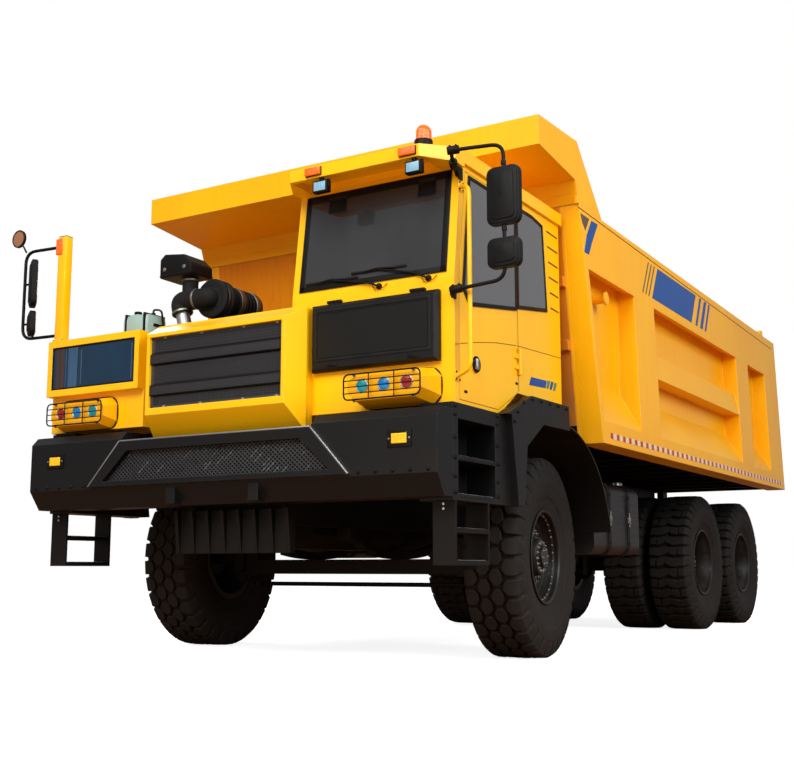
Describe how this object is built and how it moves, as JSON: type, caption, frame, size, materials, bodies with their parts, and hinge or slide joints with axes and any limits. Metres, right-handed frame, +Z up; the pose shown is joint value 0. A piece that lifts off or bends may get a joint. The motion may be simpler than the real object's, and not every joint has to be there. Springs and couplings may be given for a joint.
{
  "type": "dump truck",
  "caption": "Wide six wheeled off road dump truck: offset cab, low nose with grille, ribbed tipping bed with a canopy over the cab, twin rear axles and hanging tailgate.",
  "frame": {"origin": "on the ground under the middle of the truck", "axes": "+Z up, -Y the way the truck faces, +X its left side"},
  "size_m": [4.9398, 9.762, 4.413],
  "materials": {
    "cab_yellow": "gloss golden yellow paint",
    "bed_yellow": "semi gloss orange yellow paint",
    "bumper_black": "satin charcoal paint",
    "chassis_black": "satin black paint",
    "tyre_rubber": "matt rubber",
    "glass_dark": "tinted glass",
    "trim_plastic": "grained plastic",
    "coolant_plastic": "milky plastic",
    "tank_metal": "brushed",
    "rod_chrome": "polished",
    "lamp_body": "gloss paint",
    "lamp_lens": "clear lens",
    "signal_lens": "amber lens"
  },
  "bodies": {
    "truck": {"chassis_frame": "chassis_black", "front_bumper": "bumper_black", "bumper_mesh": "bumper_black", "step_housings": "bumper_black", "ladders": "bumper_black", "front_fenders": "bumper_black", "hood_cowl": "cab_yellow", "grille": "bumper_black", "side_cabinet": "cab_yellow", "engine_deck": "bumper_black", "cab_shell": "cab_yellow", "cab_glass": "glass_dark", "cab_roof": "cab_yellow", "cab_interior": "trim_plastic", "mirrors": "bumper_black", "post_and_rail": "cab_yellow", "wipers": "bumper_black", "air_intake": "trim_plastic", "coolant_tank": "coolant_plastic", "guard_plate": "bumper_black", "engine_block": "chassis_black", "driveline": "chassis_black", "side_tanks": "tank_metal", "front_axle": "chassis_black", "leaf_springs": "chassis_black", "rear_axles": "chassis_black", "lamp_pods": "lamp_body", "lamps": "lamp_lens", "lamp_guards": "bumper_black", "signal_lamps": "signal_lens"},
    "steering_wheel": {"steering_wheel": "trim_plastic"},
    "door": {"door": "cab_yellow", "door_glass": "glass_dark"},
    "service_flap": {"service_flap": "bumper_black"},
    "knuckle_left": {"knuckle_left": "chassis_black"},
    "knuckle_right": {"knuckle_right": "chassis_black"},
    "tie_rod": {"tie_rod": "chassis_black"},
    "wheel_front_left": {"tyre_front_left": "tyre_rubber", "rim_front_left": "chassis_black"},
    "wheel_front_right": {"tyre_front_right": "tyre_rubber", "rim_front_right": "chassis_black"},
    "wheel_middle_left": {"tyres_middle_left": "tyre_rubber", "rim_middle_left": "chassis_black"},
    "wheel_middle_right": {"tyres_middle_right": "tyre_rubber", "rim_middle_right": "chassis_black"},
    "wheel_rear_left": {"tyres_rear_left": "tyre_rubber", "rim_rear_left": "chassis_black"},
    "wheel_rear_right": {"tyres_rear_right": "tyre_rubber", "rim_rear_right": "chassis_black"},
    "bed": {"bed_sides": "bed_yellow", "bed_front": "bed_yellow", "bed_canopy": "bed_yellow", "bed_floor": "bed_yellow"},
    "tailgate": {"tailgate": "bed_yellow"},
    "hoist_barrel": {"hoist_barrel": "chassis_black"},
    "hoist_stage_lower": {"hoist_stage_lower": "rod_chrome"},
    "hoist_stage_upper": {"hoist_stage_upper": "rod_chrome"},
    "hoist_rod": {"hoist_rod": "rod_chrome"}
  },
  "joints": [
    {"name": "steer_left", "type": "hinge", "parent": "truck", "child": "knuckle_left", "pos_m": [1.3, -2.819, 0.81402], "axis": [0, 0, 1], "range_deg": [-38, 26]},
    {"name": "steer_right", "type": "hinge", "parent": "truck", "child": "knuckle_right", "pos_m": [-1.3, -2.819, 0.81402], "axis": [0, 0, 1], "range_deg": [-38, 26]},
    {"name": "tie_rod_swing", "type": "hinge", "parent": "knuckle_left", "child": "tie_rod", "pos_m": [1.27073, -2.54053, 0.57], "axis": [0, 0, 1], "range_deg": [-26, 38]},
    {"name": "steering_wheel_turn", "type": "hinge", "parent": "truck", "child": "steering_wheel", "pos_m": [1.3, -3.859, 2.79], "axis": [0, 0.7835, 0.6214], "range_deg": [-760, 520]},
    {"name": "wheel_front_left_spin", "type": "hinge", "parent": "knuckle_left", "child": "wheel_front_left", "pos_m": [1.62819, -2.78451, 0.81402], "axis": [0.9945, 0.1045, 0], "continuous": true},
    {"name": "wheel_front_right_spin", "type": "hinge", "parent": "knuckle_right", "child": "wheel_front_right", "pos_m": [-1.62819, -2.85349, 0.81402], "axis": [0.9945, 0.1045, 0], "continuous": true},
    {"name": "wheel_middle_left_spin", "type": "hinge", "parent": "truck", "child": "wheel_middle_left", "pos_m": [1.2, 2.271, 0.79417], "axis": [1, 0, 0], "continuous": true},
    {"name": "wheel_middle_right_spin", "type": "hinge", "parent": "truck", "child": "wheel_middle_right", "pos_m": [-1.2, 2.271, 0.79417], "axis": [1, 0, 0], "continuous": true},
    {"name": "wheel_rear_left_spin", "type": "hinge", "parent": "truck", "child": "wheel_rear_left", "pos_m": [1.2, 4.081, 0.79417], "axis": [1, 0, 0], "continuous": true},
    {"name": "wheel_rear_right_spin", "type": "hinge", "parent": "truck", "child": "wheel_rear_right", "pos_m": [-1.2, 4.081, 0.79417], "axis": [1, 0, 0], "continuous": true},
    {"name": "door_swing", "type": "hinge", "parent": "truck", "child": "door", "pos_m": [1.952, -3.47, 2.325], "axis": [0, 0, 1], "range_deg": [0, 75]},
    {"name": "flap_swing", "type": "hinge", "parent": "truck", "child": "service_flap", "pos_m": [1.285, -4.541, 2.712], "axis": [-1, 0, 0], "range_deg": [0, 70]},
    {"name": "bed_tilt", "type": "hinge", "parent": "truck", "child": "bed", "pos_m": [0, 4.431, 1.6], "axis": [-1, 0, 0], "range_deg": [0, 45]},
    {"name": "tailgate_swing", "type": "hinge", "parent": "bed", "child": "tailgate", "pos_m": [0, 4.521, 3.96], "axis": [1, 0, 0], "range_deg": [0, 65]},
    {"name": "hoist_swing", "type": "hinge", "parent": "truck", "child": "hoist_barrel", "pos_m": [0, 1.67365, 0.70166], "axis": [-1, 0, 0], "range_deg": [0, 22.5]},
    {"name": "hoist_slide_lower", "type": "slide", "parent": "hoist_barrel", "child": "hoist_stage_lower", "axis": [0, -0.1227, 0.9924], "range_m": [0, 0.6983]},
    {"name": "hoist_slide_upper", "type": "slide", "parent": "hoist_stage_lower", "child": "hoist_stage_upper", "axis": [0, -0.1227, 0.9924], "range_m": [0, 0.6983]},
    {"name": "hoist_slide_rod", "type": "slide", "parent": "hoist_stage_upper", "child": "hoist_rod", "axis": [0, -0.1227, 0.9924], "range_m": [0, 0.6983]}
  ],
  "couplings": [
    {"joint": "steer_right", "follows": "steer_left", "ratio": 1},
    {"joint": "tie_rod_swing", "follows": "steer_left", "ratio": -1},
    {"joint": "steering_wheel_turn", "follows": "steer_left", "ratio": 20},
    {"joint": "hoist_swing", "follows": "bed_tilt", "ratio": 0.5},
    {"joint": "hoist_slide_lower", "follows": "bed_tilt", "m_per_rad": 0.88895},
    {"joint": "hoist_slide_upper", "follows": "bed_tilt", "m_per_rad": 0.88895},
    {"joint": "hoist_slide_rod", "follows": "bed_tilt", "m_per_rad": 0.88895}
  ]
}
